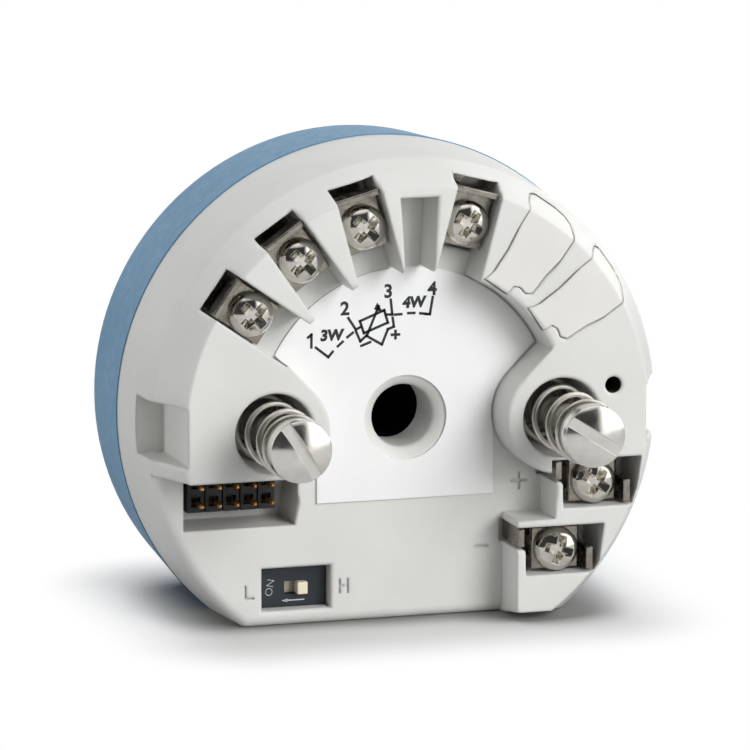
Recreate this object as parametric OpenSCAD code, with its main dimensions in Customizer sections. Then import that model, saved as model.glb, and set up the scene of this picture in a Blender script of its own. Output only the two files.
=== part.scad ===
// Head-mounted temperature transmitter, standing on the flat of its round housing.
// Origin: axis of the central wire bore, in the back face. +X right, +Z up, the front faces -Y.
// The plan modules are drawn lying on the back face, with +Z out of the front, and stand() stands them up.

/* [Housing] */
// Diameter of the rear cup at the parting line
housing_d = 60; // [58:0.1:66]
// Depth from the back face to the front plane
housing_depth = 30; // [29:0.1:34]
// Depth of the rear cup
cup_depth = 13.4; // [12.5:0.1:14]
// Distance from the bore's axis down to the resting flat
flat_drop = 22.8; // [22.5:0.1:24]
// Wall thickness of cup and cover
wall = 1.5; // [1.2:0.1:1.8]
// Radius lost by the cover between the parting line and its shoulder
cover_draft = 0.8; // [0.5:0.05:1.1]
// Depth of the rounded shoulder along the axis
shoulder_depth = 5.5; // [4:0.1:6]
// Width of the rounded shoulder across the radius
shoulder_width = 2.6; // [2:0.05:2.8]
// Drop from the front plane to the label's floor
floor_drop = 5.5; // [5:0.1:6]

/* [Wire bore] */
// Radius of the central wire bore
bore_r = 3.5; // [3:0.05:4]
// Radius of the countersink round the bore's mouth
bore_mouth_r = 4.55; // [4.2:0.05:4.9]

/* [Label recess] */
// Radius of the recess round the label
recess_r = 17.1; // [16.9:0.1:17.6]
// Radius of the rounded rim of the recess
rim_round = 0.9; // [0.4:0.1:1.1]
// Height of the left step below the bore's axis
step_drop = 5.1; // [5.1:0.05:5.3]
// Thickness of the label
label_t = 0.25; // [0.15:0.05:0.4]

/* [Mounting screws] */
// Distance between the two mounting screws
screw_spacing = 33; // [32.6:0.1:33.4]
// Radius of the spring sockets
socket_r = 4.45; // [4.3:0.05:4.5]
// Radius of the raised boss round each socket
boss_r = 6.35; // [6:0.05:6.5]
// Radius of the screw's shank
shank_r = 2; // [1.9:0.05:2.05]
// Radius of the screw's head
head_r = 3.45; // [3.2:0.05:3.6]
// Travel of the screw as it is pressed in
press_travel = 9; // [7:0.5:9.5]
// How far the left screw stays pushed in at rest
left_push = 1.1; // [0:0.1:1.2]

/* [Springs] */
// Radius of the spring wire
wire_r = 0.3; // [0.25:0.05:0.4]
// Radius of the coil, to the middle of the wire
coil_r = 3.35; // [3.2:0.05:3.5]
// Length of the free spring
spring_len = 22.5; // [22:0.5:24]
// Number of turns
coil_turns = 4.375; // [3.875:0.125:5.875]

/* [Sensor terminals] */
// Radius of the circle on which the terminal screws lie
terminal_pcr = 22.8; // [22.7:0.1:23.1]
// Width of a terminal pocket
pocket_w = 5.3; // [5.2:0.1:5.6]
// Radius of the outer end of the pockets
pocket_end_r = 27.75; // [27.6:0.05:27.9]
// Radius of a terminal screw's head
pan_r = 2.5; // [2.3:0.05:2.6]
// Radius of a terminal screw's shank
thread_r = 1.5; // [1.3:0.05:1.5]
// Travel of a clamp from open to closed
clamp_travel = 2.4; // [1.8:0.1:2.6]

/* [Power terminals] */
// Width of a power pocket at its upper edge
power_w = 9.1; // [8.9:0.1:9.2]
// Height of a power pocket
power_h = 5.5; // [5.4:0.05:5.6]
// Loss of width from the upper to the lower edge of a power pocket
power_taper = 0.7; // [0.3:0.1:0.8]

/* [Header and switch] */
// Pitch of the header's pins
pin_pitch = 2; // [1.8:0.05:2]
// Length of a header pin above its body
pin_reach = 2.9; // [2:0.1:3]
// Width of the switch window
window_w = 7.9; // [7.7:0.1:8.2]
// Height of the switch window
window_h = 4.8; // [4.7:0.1:4.9]
// Travel of the switch's slider
slider_travel = 1.25; // [1:0.05:1.3]

/* [Hidden] */

// Fineness of the round surfaces, and steps in a rounded edge
$fn = 72;
round_steps = 6;
// Overrun of every cut
over = 0.4;
// Gap between fixed pieces that fit each other, and round a turning shaft
seat_gap = 0.1;
running_gap = 0.08;

// Rise of the recess's rounded rim above the front face, so that the two cross at an angle
rim_lift = 0.02;

// Housing
cup_r = housing_d / 2;
cup_back_loss = 0.9;
cup_edge = 0.4;
cover_r = cup_r - cover_draft;
split_gap = 0.1;
front_z = housing_depth;
floor_z = housing_depth - floor_drop;
ceiling_t = 2.6;
ceiling_z = floor_z - ceiling_t;
lip_depth = 2;
lip_t = 0.9;
flat_shoulder = 1.05;
shoulder_shares = [[1, 0], [0.92, 0.06], [0.76, 0.25], [0.54, 0.46],
    [0.29, 0.7], [0.14, 0.83], [0.05, 0.93], [0, 1]];
floor_edge_round = 1.2;

// Side notches
notch_h = 6.5;
notch_inset = 2.9;
notch_inner_x = cover_r - notch_inset;
notch_depth = 10.3;

// Wire bore
tube_t = 1.7;
bore_split_drop = 6.6;
bore_split_z = floor_z - bore_split_drop;
mouth_depth = 0.9;

// Mounting screws
screw_x = screw_spacing / 2;
socket_wall = 0.6;
head_margin = 0.6;
seat_t = 1.5;
post_r = 4.4;
ring_bore_r = 4;
ring_bore_depth = 1.7;
washer_t = 0.6;
washer_r = 3.4;
head_h = 1.5;
dome_h = 1.2;
slot_w = 1.15;
slot_depth = 1.3;
slot_turn_left = 121.6;
slot_turn_right = 147;
tip_reach = 2.6;
tip_chamfer = 0.4;
groove_r = 1.6;
groove_w = 0.9;
groove_z = 0.6;
ring_t = 0.8;
ring_r = 3.2;
head_z = front_z + press_travel + head_margin;
seat_z = head_z - washer_t - spring_len;

// Label
label_gap = 0.2;
label_half_w = 10.2;
label_bottom = 9.15;

// Channel between the terminals and small hole
channel_inner_w = 3.3;
channel_outer_w = 4.3;
channel_inset = 3.9;
channel_end_r = cover_r - channel_inset;
pilot_x = 22.5;
pilot_y = 3.35;
pilot_r = 0.9;
pilot_depth = 6.5;

// Sensor terminals
terminal_angles = [145, 125, 105, 75];
plug_angles = [55, 35];
pocket_step = 1.2;
pocket_floor_z = floor_z - pocket_step;
pocket_step_r = 19.6;
contact_t = 0.8;
contact_start_r = 19.8;
contact_end_r = pocket_end_r - seat_gap * 2;
contact_w = 4.6;
leg_w = 1.4;
leg_t = 0.6;
leg_inset = 0.65;
leg_r = contact_end_r - leg_inset;
plate_t = 0.8;
plate_w = 4.9;
plate_inner = 2.7;
plate_outer = 3.2;
tab_t = 0.7;
tab_top_drop = 0.9;
clamp_gap = 0.3;
pan_z = pocket_floor_z + contact_t + clamp_gap + clamp_travel + plate_t;
pan_h = 2;
pan_flat_h = 0.5;
pan_shank = 5.3;
cross_w = 0.95;
cross_len = 4.2;
cross_core = 1;
cross_depth = 1.4;
cross_turns = [78, 10, 32, 70, 58, 75];
tip_hole_r = 1.75;

// Blank plugs, as shares of the half width and length
plug_half_w = 3.1;
plug_rim_gap = 0.3;
plug_inset = 0.9;
plug_in_r = recess_r + plug_rim_gap;
plug_out_r = cover_r - plug_inset;
plug_depth = 5.5;
plug_gap = 0.1;
plug_shares = [[0, -0.03], [0.1, -0.06], [0.13, -0.3], [0.11, -0.6], [0.15, -0.8], [0.39, -0.86],
    [0.57, -1], [0.86, -1], [0.94, -0.88], [0.98, -0.6], [1, -0.2], [1, 0.7], [0.97, 0.92], [0.9, 1],
    [0.66, 0.98], [0.52, 0.9], [0.38, 0.84], [0.14, 0.84], [0.04, 0.92], [0, 1]];

// Power block and pockets
block_left_x = 11.4;
block_top_y = -11.4;
block_inner_x = 15.8;
power_plus = [16.75, -4.75];
power_minus = [12.45, -12.15];
power_screw_dx = 3.95;
power_screw_dy = -2.85;
power_step = 0.8;
power_floor_z = floor_z - power_step;
power_contact_t = 0.8;
power_pan_z = power_floor_z + power_contact_t + clamp_gap + clamp_travel + plate_t;
power_margin = 0.25;
power_plate_w = 5.4;
power_plate_h = 4.7;
power_tab_t = 0.7;
power_tab_w = 2.3;
power_tab_drop = 0.4;
clip_dx = 7.2;
clip_w = 2.5;
clip_t = 0.8;
clip_drop = 0.6;
power_leg_dx = 6.4;

// Header
header_rows = 2;
header_cols = 5;
header_inset = 4.65;
header_left_x = header_inset - cover_r;
header_mid_y = -7.5;
header_h = 4.4;
header_drop = 1.5;
header_top_z = floor_z - header_drop;
header_pit_margin = [0.85, 1.75];
header_pit = [header_left_x - header_pit_margin[0], header_mid_y - header_h / 2 - header_pit_margin[1]];
header_pit_w = 13.1;
header_pit_depth = 6.3;
header_pit_floor_z = floor_z - header_pit_depth;
header_pit_wall = 1;
header_pit_bow = 0.3;
pin_w = 0.5;

// Switch
window_left_x = -16.4;
window_lift = 1.75;
window_bottom_y = window_lift - flat_drop;
switch_gap = 0.12;
switch_face_drop = 1.8;
slot_left_share = 0.385;
slot_bottom_share = 0.3;
slider_gap = 0.05;
slider_w = 1.2;
slider_h = 1.4;
slider_slot_w = slider_w + slider_travel + slider_gap * 2;
slider_slot_h = slider_h + slider_gap * 2;
slider_slot_depth = 1;
slider_rise = 0.8;

// Circuit board, its parts, and the potting below it, which shrinks a little off the cup as it sets
pour_gap = 0.05;
board_t = 1.6;
board_drop = 4.7;
board_top_z = ceiling_z - board_drop;
board_edge = 0.5;
board_hole_gap = 0.35;
chip_t = 1.2;
low_chip_lift = 4.8;
low_capacitor_lift = 5.6;
chip_sizes = [[8, 8], [5, 6], [4, 4], [6, 3]];
chip_places = [[0, 13], [10, 15], [-9, 13], [-4, low_chip_lift - flat_drop]];
capacitor_r = 2;
capacitor_h = 4;
capacitor_places = [[-4, -10.5], [10.8, low_capacitor_lift - flat_drop]];
transformer_size = [7.5, 6.5, 3.9];
transformer_place = [5, -11.5];
core_lift = 0.8;
core_share = 0.7;

// Stands a plan drawing up on the housing's flat
module stand() rotate([90, 0, 0]) children();

// Quarter round as points, from the wall to the top, for a rounding of the given width and depth
function quarter(wide, deep) =
    [for (i = [0 : round_steps]) let (a = 90 * i / round_steps) [wide * (cos(a) - 1), deep * (sin(a) - 1)]];

// Round disc with the housing's flat, between two heights
module flat_disc(r, drop, z0, z1) {
    intersection() {
        translate([0, 0, z0]) cylinder(r = r, h = z1 - z0);
        translate([-r, -drop, z0]) cube([r * 2, drop + r, z1 - z0]);
    }
}

// Outside of the cover: a drafted disc with a rounded shoulder, cut by the flat
module cover_form() {
    round_edge = [for (s = shoulder_shares)
        [cover_r - s[1] * shoulder_width, front_z - s[0] * shoulder_depth]];
    flat_edge = [for (s = shoulder_shares)
        [-flat_drop + s[1] * flat_shoulder, front_z - s[0] * shoulder_depth]];
    intersection() {
        rotate_extrude()
            polygon(concat([[0, cup_depth], [cup_r - split_gap, cup_depth]], round_edge, [[0, front_z]]));
        rotate([90, 0, 90]) translate([0, 0, -cup_r])
            linear_extrude(cup_r * 2)
                polygon(concat([[cup_r, cup_depth], [-flat_drop, cup_depth]], flat_edge, [[cup_r, front_z]]));
    }
}

// Rounded boss round a spring socket
module boss_form() {
    edge = [for (p = quarter(rim_round, rim_round)) [boss_r + p[0], front_z + p[1]]];
    rotate_extrude() polygon(concat([[0, ceiling_z], [boss_r, ceiling_z]], edge, [[0, front_z]]));
}

// Wedge that joins a boss to the rim of the recess, on the right side
module wedge_plan(grow) {
    k = cos(45);
    reach = recess_r;
    start = [screw_x - (boss_r + grow) * k, (boss_r + grow) * k];
    polygon([start, [start[0] + reach * k, start[1] + reach * k], [screw_x + reach, 0], [screw_x, 0]]);
}

// Plan of the deep floor that carries the label, the header and the switch
module floor_plan() {
    difference() {
        union() {
            circle(r = recess_r);
            translate([-cup_r - over, -cup_r - over])
                square([cup_r + block_inner_x + over, cup_r + over - step_drop]);
        }
        wedge_plan(0);
        mirror([1, 0]) wedge_plan(0);
        translate([screw_x, 0]) circle(r = boss_r);
        intersection() {
            translate([-screw_x, 0]) circle(r = boss_r);
            translate([-cup_r, -step_drop]) square([cup_r, cup_r]);
        }
        translate([block_left_x, -cup_r * 2 + block_top_y]) square([cup_r, cup_r * 2]);
    }
}

// Rounded rim along the arc of the recess, as a cut
module rim_cut() {
    reach = recess_r + rim_round;
    near = boss_r * cos(45);
    along = sqrt(screw_x * screw_x / 4 + (reach * reach - pow(screw_x - near, 2) - near * near) / 2)
        - screw_x / 2;
    start = asin((near + along) / reach);
    edge = [for (p = quarter(rim_round, rim_round)) [recess_r - p[0], front_z + rim_lift + p[1]]];
    rotate([0, 0, start]) rotate_extrude(angle = 180 - start * 2)
        polygon(concat([[recess_r - over, front_z - rim_round]], edge,
            [[recess_r + rim_round, front_z + over], [recess_r - over, front_z + over]]));
}

// Rounding of the deep floor's edge, where it runs out to the side and to the flat
module floor_edge_cut() {
    low = floor_z - floor_edge_round;
    side_r = cover_r + (cup_r - split_gap - cover_r) * floor_edge_round / (floor_z - cup_depth);
    curve = [for (p = quarter(floor_edge_round, floor_edge_round)) [side_r + p[0], floor_z + p[1]]];
    flat_curve = [for (p = quarter(floor_edge_round, floor_edge_round)) [-flat_drop - p[0], floor_z + p[1]]];
    intersection() {
        translate([0, 0, low]) linear_extrude(front_z - low) floor_plan();
        union() {
            rotate_extrude() polygon(concat([[cup_r + over, low]], curve,
                [[side_r - floor_edge_round, floor_z + over], [cup_r + over, floor_z + over]]));
            rotate([90, 0, 90]) translate([0, 0, -cup_r]) linear_extrude(cup_r * 2)
                polygon(concat([[-flat_drop - over, low]], flat_curve,
                    [[floor_edge_round - flat_drop, floor_z + over], [-flat_drop - over, floor_z + over]]));
        }
    }
}

// Notch in each side of the housing
module side_notch() {
    translate([notch_inner_x, -notch_h / 2, front_z - notch_depth])
        cube([cup_r, notch_h, notch_depth + over]);
}

// Wall behind each side notch, inside the cover
module notch_wall() {
    low = front_z - notch_depth - wall;
    intersection() {
        translate([notch_inner_x - wall, -notch_h / 2 - wall, low])
            cube([cup_r, notch_h + wall * 2, ceiling_z + over - low]);
        cylinder(r = cover_r - wall / 2, h = front_z);
    }
}

// Places its children at a terminal's angle, with +X outwards along the radius
module at_angle(angle) rotate([0, 0, angle]) children();

// Pocket of one sensor terminal
module sensor_pocket() {
    translate([recess_r - over, -pocket_w / 2, floor_z])
        cube([pocket_end_r - recess_r + over, pocket_w, front_z - floor_z + over]);
    translate([pocket_step_r, -pocket_w / 2, pocket_floor_z])
        cube([pocket_end_r - pocket_step_r, pocket_w, front_z - pocket_floor_z]);
    translate([terminal_pcr, 0, ceiling_z - over]) cylinder(r = tip_hole_r, h = front_z - ceiling_z);
    translate([leg_r - leg_t / 2 - seat_gap, -leg_w / 2 - seat_gap, board_top_z])
        cube([leg_t + seat_gap * 2, leg_w + seat_gap * 2, front_z - board_top_z]);
}

// Open channel between the third and fourth terminals
module channel_cut() {
    translate([0, 0, floor_z]) linear_extrude(front_z - floor_z + over)
        polygon([[-channel_inner_w / 2, recess_r - over], [channel_inner_w / 2, recess_r - over],
            [channel_outer_w / 2, channel_end_r], [-channel_outer_w / 2, channel_end_r]]);
}

// Outline of a blank plug, grown by a gap
module plug_plan(grow) {
    long = plug_out_r - plug_in_r + grow * 2;
    polygon([for (s = plug_shares) [plug_in_r - grow + s[0] * long, s[1] * (plug_half_w + grow)]]);
}

// Plan of a power pocket, from its upper left corner
module power_plan() {
    polygon([[0, 0], [power_w, 0], [power_w - power_taper, -power_h], [0, -power_h]]);
}

// Cut of a power pocket with the slot for its test tab, the screw's hole and the leg's slot
module power_cut(corner) {
    translate([corner[0], corner[1], power_floor_z])
        linear_extrude(front_z - power_floor_z + over) power_plan();
    translate([corner[0] - power_tab_t * 2, corner[1] - power_tab_w - power_margin, power_floor_z])
        cube([power_tab_t * 2 + over, power_tab_w + power_margin, front_z]);
    translate([corner[0] + power_screw_dx, corner[1] + power_screw_dy, ceiling_z - over])
        cylinder(r = tip_hole_r, h = front_z - ceiling_z);
    translate([corner[0] + power_leg_dx - leg_w / 2 - seat_gap,
        corner[1] - leg_t - power_margin - seat_gap * 2, board_top_z])
        cube([leg_w + seat_gap * 2, leg_t + seat_gap * 2, front_z - board_top_z]);
}

// Plan of the header's pit, with its right side slightly bowed
module pit_plan(grow) {
    high = -step_drop - header_pit[1];
    translate(header_pit) polygon([[-grow, -grow], [header_pit_w - header_pit_bow + grow, -grow],
        [header_pit_w + grow, high / 2], [header_pit_w + grow, high + grow], [-grow, high + grow]]);
}

// Header's size across and up
header_w = header_cols * pin_pitch;

module header_plan(grow) {
    translate([header_left_x - grow, header_mid_y - header_h / 2 - grow])
        square([header_w + grow * 2, header_h + grow * 2]);
}

module window_plan(grow) {
    translate([window_left_x + grow, window_bottom_y + grow])
        square([window_w - grow * 2, window_h - grow * 2]);
}

module cover() {
    color("gainsboro") stand() {
        difference() {
            union() {
                difference() {
                    cover_form();
                    translate([0, 0, floor_z]) linear_extrude(front_z) floor_plan();
                    rim_cut();
                    floor_edge_cut();
                    translate([0, 0, cup_depth - over])
                        flat_disc(cover_r - wall, flat_drop - wall, 0, ceiling_z - cup_depth + over);
                }
                // Rounded bosses, the left one cut off level with the step
                translate([screw_x, 0, 0]) boss_form();
                intersection() {
                    translate([-screw_x, 0, 0]) boss_form();
                    translate([-cup_r, -step_drop, 0]) cube([cup_r, cup_r, front_z]);
                }
                // Lip that enters the cup
                difference() {
                    flat_disc(cup_r - wall - seat_gap, flat_drop - wall - seat_gap, cup_depth - lip_depth,
                        cup_depth + wall);
                    flat_disc(cup_r - wall - seat_gap - lip_t, flat_drop - wall - seat_gap - lip_t,
                        cup_depth - lip_depth - over, cup_depth + wall + over);
                }
                for (side = [0, 1]) mirror([side, 0, 0]) notch_wall();
                // Tubes of the spring sockets and of the wire bore
                for (side = [-1, 1])
                    translate([side * screw_x, 0, seat_z - seat_t])
                        cylinder(r = socket_r + socket_wall, h = ceiling_z - seat_z + seat_t + over);
                translate([0, 0, bore_split_z])
                    cylinder(r = bore_r + tube_t, h = ceiling_z - bore_split_z + over);
                // Walls of the header's pit
                translate([0, 0, board_top_z + seat_gap]) linear_extrude(floor_z - over - board_top_z)
                    intersection() {
                        pit_plan(header_pit_wall);
                        circle(r = cover_r - wall / 2);
                    }
            }
            // Wire bore with its countersink
            translate([0, 0, bore_split_z - over]) cylinder(r = bore_r, h = front_z);
            translate([0, 0, floor_z - mouth_depth])
                cylinder(r1 = bore_r, r2 = bore_mouth_r, h = mouth_depth);
            translate([0, 0, floor_z]) cylinder(r = bore_mouth_r, h = front_z);
            // Spring sockets and the screws' holes
            for (side = [-1, 1]) translate([side * screw_x, 0, 0]) {
                translate([0, 0, seat_z]) cylinder(r = socket_r, h = front_z);
                translate([0, 0, seat_z - seat_t - over]) cylinder(r = shank_r + running_gap, h = front_z);
            }
            for (side = [0, 1]) mirror([side, 0, 0]) side_notch();
            for (angle = terminal_angles) at_angle(angle) sensor_pocket();
            channel_cut();
            // Pockets of the blank plugs
            for (angle = plug_angles) at_angle(angle)
                translate([0, 0, front_z - plug_depth]) linear_extrude(plug_depth + over) plug_plan(plug_gap);
            power_cut(power_plus);
            power_cut(power_minus);
            // Pit of the header, with a floor round the header's body
            translate([0, 0, header_pit_floor_z]) linear_extrude(front_z) intersection() {
                pit_plan(0);
                translate([-cup_r, -cup_r]) square([cup_r, cup_r - step_drop]);
            }
            translate([0, 0, board_top_z - over]) linear_extrude(header_top_z - board_top_z)
                header_plan(seat_gap);
            translate([0, 0, board_top_z]) linear_extrude(front_z) window_plan(0);
            translate([pilot_x, pilot_y, front_z - pilot_depth]) cylinder(r = pilot_r, h = front_z);
        }
    }
}

module base_cup() {
    color("steelblue") stand() {
        difference() {
            union() {
                difference() {
                    intersection() {
                        rotate_extrude()
                            polygon([[0, 0], [cup_r - cup_back_loss - cup_edge, 0],
                                [cup_r - cup_back_loss, cup_edge], [cup_r, cup_depth], [0, cup_depth]]);
                        translate([-cup_r, -flat_drop, 0]) cube([cup_r * 2, flat_drop + cup_r, cup_depth]);
                    }
                    flat_disc(cup_r - wall, flat_drop - wall, wall, cup_depth + over);
                }
                cylinder(r = bore_r + tube_t, h = bore_split_z);
                for (side = [-1, 1])
                    translate([side * screw_x, 0, 0]) cylinder(r = post_r, h = seat_z - seat_t);
            }
            translate([0, 0, -over]) cylinder(r = bore_r, h = front_z);
            for (side = [-1, 1]) translate([side * screw_x, 0, -over]) {
                cylinder(r = shank_r + running_gap, h = front_z);
                cylinder(r = ring_bore_r, h = ring_bore_depth + over);
            }
        }
    }
}

// Label on the floor of the recess
module face_label() {
    color("white") stand() translate([0, 0, floor_z]) linear_extrude(label_t) difference() {
        intersection() {
            circle(r = recess_r - label_gap);
            union() {
                translate([-label_half_w, -label_bottom]) square([label_half_w * 2, label_bottom + recess_r]);
                translate([-recess_r, 0]) square([recess_r * 2, recess_r]);
            }
        }
        for (side = [0, 1]) mirror([side, 0]) {
            wedge_plan(label_gap);
            translate([screw_x, 0]) circle(r = boss_r + label_gap);
        }
        circle(r = bore_mouth_r + label_gap);
    }
}

module main_board() {
    color("darkgreen") stand() difference() {
        flat_disc(cover_r - wall - board_edge, flat_drop - wall - board_edge,
            board_top_z - board_t, board_top_z);
        cylinder(r = bore_r + tube_t + board_hole_gap, h = front_z);
        for (side = [-1, 1]) translate([side * screw_x, 0, 0])
            cylinder(r = socket_r + socket_wall + board_hole_gap, h = front_z);
    }
}

module board_parts() {
    color("dimgray") stand() translate([0, 0, board_top_z]) {
        for (i = [0 : len(chip_sizes) - 1])
            translate([chip_places[i][0] - chip_sizes[i][0] / 2, chip_places[i][1] - chip_sizes[i][1] / 2, 0])
                cube([chip_sizes[i][0], chip_sizes[i][1], chip_t]);
        for (p = capacitor_places) translate([p[0], p[1], 0]) cylinder(r = capacitor_r, h = capacitor_h);
    }
}

// Transformer that isolates the loop from the sensor: a core on a wider bobbin
module transformer() {
    color("goldenrod") stand() translate([transformer_place[0], transformer_place[1], board_top_z]) {
        translate([-transformer_size[0] / 2, -transformer_size[1] / 2, 0])
            cube([transformer_size[0], transformer_size[1], core_lift]);
        translate([-transformer_size[0] * core_share / 2, -transformer_size[1] / 2, core_lift])
            cube([transformer_size[0] * core_share, transformer_size[1], transformer_size[2] - core_lift]);
    }
}

// Resin that fills the cup and carries the board
module potting() {
    lip_in = wall + seat_gap * 2 + lip_t;
    color("darkslategray") stand() difference() {
        union() {
            flat_disc(cup_r - wall - pour_gap, flat_drop - wall - pour_gap, wall,
                min(cup_depth - lip_depth - seat_gap, board_top_z - board_t));
            flat_disc(cup_r - lip_in, flat_drop - lip_in, wall, board_top_z - board_t);
        }
        cylinder(r = bore_r + tube_t, h = front_z);
        for (side = [-1, 1]) translate([side * screw_x, 0, 0]) {
            cylinder(r = post_r, h = front_z);
            translate([0, 0, seat_z - seat_t - seat_gap])
                cylinder(r = socket_r + socket_wall + seat_gap, h = front_z);
        }
    }
}

module header_body() {
    color("black") stand() difference() {
        translate([0, 0, board_top_z]) linear_extrude(header_top_z - board_top_z) header_plan(0);
        for (c = [0 : header_cols - 1]) for (r = [0 : header_rows - 1])
            translate([header_left_x + pin_pitch * (c + 1 / 2) - pin_w / 2,
                header_mid_y + pin_pitch * (r - 1 / 2) - pin_w / 2, board_top_z - over])
                cube([pin_w, pin_w, front_z]);
    }
}

module header_pins() {
    color("gold") stand() for (c = [0 : header_cols - 1]) for (r = [0 : header_rows - 1])
        translate([header_left_x + pin_pitch * (c + 1 / 2) - pin_w / 2,
            header_mid_y + pin_pitch * (r - 1 / 2) - pin_w / 2, board_top_z])
            cube([pin_w, pin_w, header_top_z - board_top_z + pin_reach]);
}

// Places of the slider's slot in the switch
slot_x = window_left_x + window_w * slot_left_share;
slot_y = window_bottom_y + window_h * slot_bottom_share;
switch_face_z = floor_z - switch_face_drop;

module switch_body() {
    color("darkslategray") stand() difference() {
        translate([0, 0, board_top_z]) linear_extrude(switch_face_z - board_top_z) window_plan(switch_gap);
        translate([slot_x, slot_y, switch_face_z - slider_slot_depth])
            cube([slider_slot_w, slider_slot_h, front_z]);
    }
}

module switch_slider() {
    color("cornsilk") stand() translate([slot_x + slider_slot_w - slider_w - slider_gap, slot_y + slider_gap,
        switch_face_z - slider_slot_depth])
            cube([slider_w, slider_h, slider_slot_depth + slider_rise]);
}

// Contact strip in the floor of a sensor pocket, with its leg down to the board
module sensor_contact() {
    difference() {
        translate([contact_start_r, -contact_w / 2, pocket_floor_z])
            cube([contact_end_r - contact_start_r, contact_w, contact_t]);
        translate([terminal_pcr, 0, 0]) cylinder(r = thread_r + running_gap, h = front_z);
    }
    translate([leg_r - leg_t / 2, -leg_w / 2, board_top_z])
        cube([leg_t, leg_w, pocket_floor_z + contact_t - board_top_z]);
}

module sensor_contacts() {
    color("silver") stand() for (angle = terminal_angles) at_angle(angle) sensor_contact();
}

// Clamp plate under a sensor screw, with its outer end bent up
module sensor_clamp(index) {
    color("lightgray") stand() at_angle(terminal_angles[index])
        translate([terminal_pcr, 0, pan_z - plate_t]) {
        difference() {
            translate([-plate_inner, -plate_w / 2, 0]) cube([plate_inner + plate_outer, plate_w, plate_t]);
            translate([0, 0, -over]) cylinder(r = thread_r + running_gap, h = front_z);
        }
        translate([plate_outer, -plate_w / 2, 0])
            cube([tab_t, plate_w, front_z - tab_top_drop - pan_z + plate_t]);
    }
}

// Pan-head screw with a cross recess, its head's underside at height zero
module pan_screw(turn) {
    dome = [for (p = quarter(pan_r, pan_h - pan_flat_h)) [pan_r + p[0], pan_h + p[1]]];
    difference() {
        union() {
            rotate_extrude() polygon(concat([[0, 0], [pan_r, 0]], dome));
            translate([0, 0, -pan_shank]) cylinder(r = thread_r, h = pan_shank + over);
        }
        intersection() {
            translate([0, 0, pan_h - cross_depth])
                cylinder(r1 = cross_core / 2, r2 = cross_len / 2, h = cross_depth + over);
            for (arm = [0, 90]) rotate([0, 0, turn + arm])
                translate([-cross_len / 2, -cross_w / 2, 0]) cube([cross_len, cross_w, pan_h * 2]);
        }
    }
}

module sensor_screw(index) {
    color("silver") stand() at_angle(terminal_angles[index]) translate([terminal_pcr, 0, pan_z])
        pan_screw(cross_turns[index]);
}

module sensor_clamp_1() sensor_clamp(0);
module sensor_clamp_2() sensor_clamp(1);
module sensor_clamp_3() sensor_clamp(2);
module sensor_clamp_4() sensor_clamp(3);
module sensor_screw_1() sensor_screw(0);
module sensor_screw_2() sensor_screw(1);
module sensor_screw_3() sensor_screw(2);
module sensor_screw_4() sensor_screw(3);

// Power contact: a strip in the pocket's floor, a test tab on the left, a clip on the right, and a leg
module power_contact(corner) {
    wide = clip_dx + clip_t - power_margin;
    translate([corner[0], corner[1], power_floor_z]) {
        difference() {
            translate([power_margin, -power_h + power_margin, 0])
                cube([wide, power_h - power_margin * 2, power_contact_t]);
            translate([power_screw_dx, power_screw_dy, -over])
                cylinder(r = thread_r + running_gap, h = front_z);
        }
        translate([-power_tab_t - seat_gap, -power_tab_w, 0]) {
            cube([power_tab_t, power_tab_w - power_margin, front_z - power_floor_z - power_tab_drop]);
            cube([power_tab_t + seat_gap + power_margin + over, power_tab_w - power_margin, power_contact_t]);
        }
        translate([clip_dx, -power_h + power_margin, 0])
            cube([clip_t, clip_w, front_z - power_floor_z - clip_drop]);
        translate([power_leg_dx - leg_w / 2, -leg_t - power_margin - seat_gap, board_top_z - power_floor_z])
            cube([leg_w, leg_t, power_floor_z - board_top_z + power_contact_t]);
    }
}

module power_contacts() {
    color("silver") stand() {
        power_contact(power_plus);
        power_contact(power_minus);
    }
}

module power_clamp(corner) {
    color("lightgray") stand()
        translate([corner[0] + power_screw_dx, corner[1] + power_screw_dy, power_pan_z - plate_t])
            difference() {
            translate([-power_plate_w / 2, -power_plate_h / 2, 0])
                cube([power_plate_w, power_plate_h, plate_t]);
            translate([0, 0, -over]) cylinder(r = thread_r + running_gap, h = front_z);
        }
}

module power_screw(corner, turn) {
    color("silver") stand()
        translate([corner[0] + power_screw_dx, corner[1] + power_screw_dy, power_pan_z]) pan_screw(turn);
}

module power_clamp_plus() power_clamp(power_plus);
module power_clamp_minus() power_clamp(power_minus);
module power_screw_plus() power_screw(power_plus, cross_turns[4]);
module power_screw_minus() power_screw(power_minus, cross_turns[5]);

// Plugs that close the two unused terminal places, cut to the cover's own outside
module blank_plugs() {
    color("whitesmoke") stand() for (angle = plug_angles) difference() {
        intersection() {
            at_angle(angle) translate([0, 0, front_z - plug_depth + seat_gap])
                linear_extrude(plug_depth) plug_plan(0);
            cover_form();
        }
        translate([0, 0, floor_z - over]) cylinder(r = recess_r, h = front_z);
        rim_cut();
    }
}

// Distance that a side's screw is pushed in at rest
function push(side) = side < 0 ? left_push : 0;

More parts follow.
